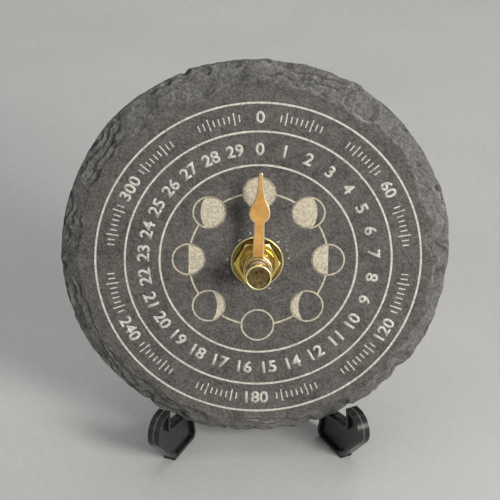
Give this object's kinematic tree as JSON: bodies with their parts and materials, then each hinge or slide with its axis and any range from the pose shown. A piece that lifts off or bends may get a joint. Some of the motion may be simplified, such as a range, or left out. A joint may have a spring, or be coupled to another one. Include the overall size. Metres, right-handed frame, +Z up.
{
  "type": "moon phase desk clock",
  "caption": "Round slate disc with one hand that follows the lunar month, driven by a battery movement behind it and leaning in a low folding easel stand.",
  "frame": {"origin": "on the desk, below the middle of the clock's width and depth", "axes": "+Z up, the dial faces -Y and leans back 11 degrees, +X to the viewer's right"},
  "size_m": [0.1104, 0.0612, 0.1157],
  "materials": {
    "slate": "riven, matte, chipped edge",
    "rubber": "matte",
    "brass": "polished",
    "hand_gold": "matte gold lacquer with bright cut edges",
    "steel": "satin",
    "case_plastic": "fine moulded texture",
    "knob_plastic": "moulded",
    "gear_plastic": "moulded acetal",
    "spring_steel": "bright",
    "magnet": "sintered",
    "soft_iron": "rolled",
    "bobbin_plastic": "moulded",
    "copper": "enamelled wire",
    "board": "solder mask",
    "epoxy": "cast blob",
    "crystal_can": "drawn can",
    "contact_nickel": "nickel plated",
    "battery_jacket": "plain sleeve",
    "stand_plastic": "semi gloss moulding"
  },
  "bodies": {
    "stand_left": {"stand_left": "stand_plastic", "stand_hinge_pin": "steel"},
    "stand_right": {"stand_right": "stand_plastic"},
    "clock": {"slate_dial": "slate", "rubber_gasket": "rubber", "brass_washer": "brass", "hex_nut": "brass", "threaded_bushing": "brass", "case_front": "case_plastic", "rear_cover": "case_plastic", "circuit_board": "board", "driver_chip": "epoxy", "quartz_crystal": "crystal_can", "stator": "soft_iron", "coil_core": "soft_iron", "coil_bobbin": "bobbin_plastic", "coil_winding": "copper", "battery_contact_plus": "contact_nickel", "battery_contact_minus": "contact_nickel"},
    "hand": {"moon_hand": "hand_gold", "hand_arbor": "steel", "cap_nut": "brass", "drive_wheel": "gear_plastic", "clutch_spring": "spring_steel", "set_wheel": "gear_plastic"},
    "third_wheel": {"third_wheel": "gear_plastic"},
    "second_wheel": {"second_wheel": "gear_plastic"},
    "rotor": {"rotor_pinion": "gear_plastic", "rotor_magnet": "magnet"},
    "set_knob": {"set_knob": "knob_plastic", "set_pinion": "gear_plastic"},
    "battery": {"battery": "battery_jacket"}
  },
  "joints": [
    {"name": "clock_lift", "type": "slide", "parent": "stand_left", "child": "clock", "axis": [0, 0, 1], "range_m": [0, 0.12]},
    {"name": "stand_fold", "type": "hinge", "parent": "stand_left", "child": "stand_right", "pos_m": [0, 0.02756, 0], "axis": [0, 0, -1], "range_deg": [0, 51]},
    {"name": "hand_turn", "type": "hinge", "parent": "clock", "child": "hand", "pos_m": [0, -0.01028, 0.06036], "axis": [0, 0.9816, -0.1908], "continuous": true},
    {"name": "third_wheel_turn", "type": "hinge", "parent": "clock", "child": "third_wheel", "pos_m": [0.00919, -0.00881, 0.06793], "axis": [0, 0.9816, -0.1908], "continuous": true},
    {"name": "second_wheel_turn", "type": "hinge", "parent": "clock", "child": "second_wheel", "pos_m": [0, -0.00734, 0.0755], "axis": [0, 0.9816, -0.1908], "continuous": true},
    {"name": "rotor_turn", "type": "hinge", "parent": "clock", "child": "rotor", "pos_m": [-0.01001, -0.00803, 0.07192], "axis": [0, 0.9816, -0.1908], "continuous": true},
    {"name": "set_knob_turn", "type": "hinge", "parent": "clock", "child": "set_knob", "pos_m": [-0.0102, -0.01119, 0.05569], "axis": [0, 0.9816, -0.1908], "continuous": true},
    {"name": "battery_slide", "type": "slide", "parent": "clock", "child": "battery", "axis": [0, 0.9816, -0.1908], "range_m": [0, 0.02]}
  ],
  "couplings": [
    {"joint": "stand_fold", "follows": "clock_lift", "rad_per_m": 7.4},
    {"joint": "third_wheel_turn", "follows": "hand_turn", "ratio": -4},
    {"joint": "second_wheel_turn", "follows": "hand_turn", "ratio": 12},
    {"joint": "rotor_turn", "follows": "hand_turn", "ratio": -59},
    {"joint": "set_knob_turn", "follows": "hand_turn", "ratio": -2}
  ]
}
